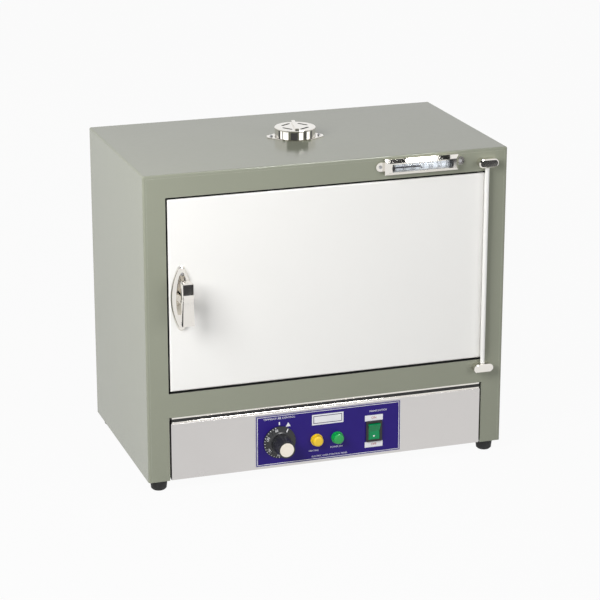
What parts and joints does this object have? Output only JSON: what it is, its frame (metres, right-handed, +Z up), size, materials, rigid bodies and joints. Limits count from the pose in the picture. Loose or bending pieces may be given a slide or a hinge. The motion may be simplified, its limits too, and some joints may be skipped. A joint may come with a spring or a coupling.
{
  "type": "dry heat sterilizer",
  "caption": "Bench-top dry heat sterilizer: painted steel cabinet, insulated chamber with wire shelves, hinged white door with lever latch, control panel below and rotary vent on top.",
  "frame": {"origin": "centre of the base of the whole object's bounding box, on the surface it stands on", "axes": "+Z up, -Y towards the door, +X towards the hinge side"},
  "size_m": [0.505, 0.335, 0.4528],
  "materials": {
    "black_plastic": "black moulded plastic",
    "bright_chrome": "polished chrome plating",
    "casing_paint": "semi-gloss grey-green enamel",
    "clear_glass": "clear glass tube",
    "copper_tube": "drawn copper",
    "disc_cream": "satin off-white plastic",
    "door_white": "white enamel",
    "foot_rubber": "matte black rubber",
    "heater_sheath": "heat-darkened steel sheath",
    "knob_black": "black phenolic",
    "label_blue": "dark blue printed film",
    "lens_amber": "clear amber plastic",
    "lens_green": "clear green plastic",
    "mineral_wool": "pressed mineral wool",
    "plated_sheet": "plain zinc-plated sheet",
    "rocker_green": "clear green plastic",
    "scale_white": "white enamelled scale",
    "screw_steel": "zinc-plated screw steel",
    "seal_rubber": "red silicone rubber",
    "stainless_sheet": "fine brushed stainless sheet",
    "terminal_cream": "cream ceramic"
  },
  "bodies": {
    "cabinet": {"amber_lamp_lens": "lens_amber", "base_pan": "plated_sheet", "cable_gland": "black_plastic", "capillary_tube": "copper_tube", "casing_wrap": "casing_paint", "chamber_insulation": "mineral_wool", "chamber_liner": "stainless_sheet", "control_panel": "stainless_sheet", "deck_plate": "plated_sheet", "foot_front_left": "foot_rubber", "foot_front_right": "foot_rubber", "foot_rear_left": "foot_rubber", "foot_rear_right": "foot_rubber", "foot_screws": "screw_steel", "front_frame": "casing_paint", "gland_nut": "black_plastic", "green_lamp_lens": "lens_green", "heater_cover": "stainless_sheet", "heating_element": "heater_sheath", "hinge_bracket_lower": "bright_chrome", "hinge_bracket_upper": "bright_chrome", "hinge_pins": "screw_steel", "hinge_screws": "screw_steel", "label_plate": "label_blue", "lamp_bodies": "black_plastic", "latch_keeper": "plated_sheet", "rear_panel": "casing_paint", "rear_screws": "screw_steel", "shelf_lower": "bright_chrome", "shelf_rack_left": "stainless_sheet", "shelf_rack_right": "stainless_sheet", "shelf_upper": "bright_chrome", "switch_housing": "black_plastic", "terminal_block": "terminal_cream", "thermometer_housing": "bright_chrome", "thermometer_scale": "scale_white", "thermometer_screws": "screw_steel", "thermometer_stem": "stainless_sheet", "thermometer_tube": "clear_glass", "thermostat_body": "terminal_cream", "thermostat_bulb": "copper_tube", "vent_base": "bright_chrome", "vent_duct": "stainless_sheet", "vent_pivot": "screw_steel", "vent_screws": "screw_steel"},
    "door": {"door_skin": "door_white", "door_inner_panel": "stainless_sheet", "door_insulation": "mineral_wool", "door_gasket": "seal_rubber", "hinge_tube": "bright_chrome", "handle_plate": "bright_chrome", "handle_screws": "screw_steel"},
    "latch": {"handle_lever": "bright_chrome", "handle_spindle": "screw_steel", "latch_cam": "screw_steel"},
    "vent_cap": {"vent_cap": "bright_chrome"},
    "knob": {"thermostat_knob": "knob_black", "knob_disc": "disc_cream", "thermostat_shaft": "screw_steel"},
    "rocker": {"switch_rocker": "rocker_green"}
  },
  "joints": [
    {"name": "door_hinge", "type": "hinge", "parent": "cabinet", "child": "door", "pos_m": [0.2215, -0.1365, 0.27], "axis": [0, 0, 1], "range_deg": [0, 170]},
    {"name": "handle_turn", "type": "hinge", "parent": "door", "child": "latch", "pos_m": [-0.2035, -0.1315, 0.268], "axis": [0, -1, 0], "range_deg": [0, 90]},
    {"name": "vent_cap_turn", "type": "hinge", "parent": "cabinet", "child": "vent_cap", "pos_m": [0, 0.0115, 0.44], "axis": [0, 0, 1], "range_deg": [0, 45]},
    {"name": "knob_turn", "type": "hinge", "parent": "cabinet", "child": "knob", "pos_m": [-0.0704, -0.1315, 0.052], "axis": [0, 1, 0], "range_deg": [0, 270]},
    {"name": "rocker_tilt", "type": "hinge", "parent": "cabinet", "child": "rocker", "pos_m": [0.065, -0.1313, 0.0512], "axis": [-1, 0, 0], "range_deg": [0, 20]}
  ]
}
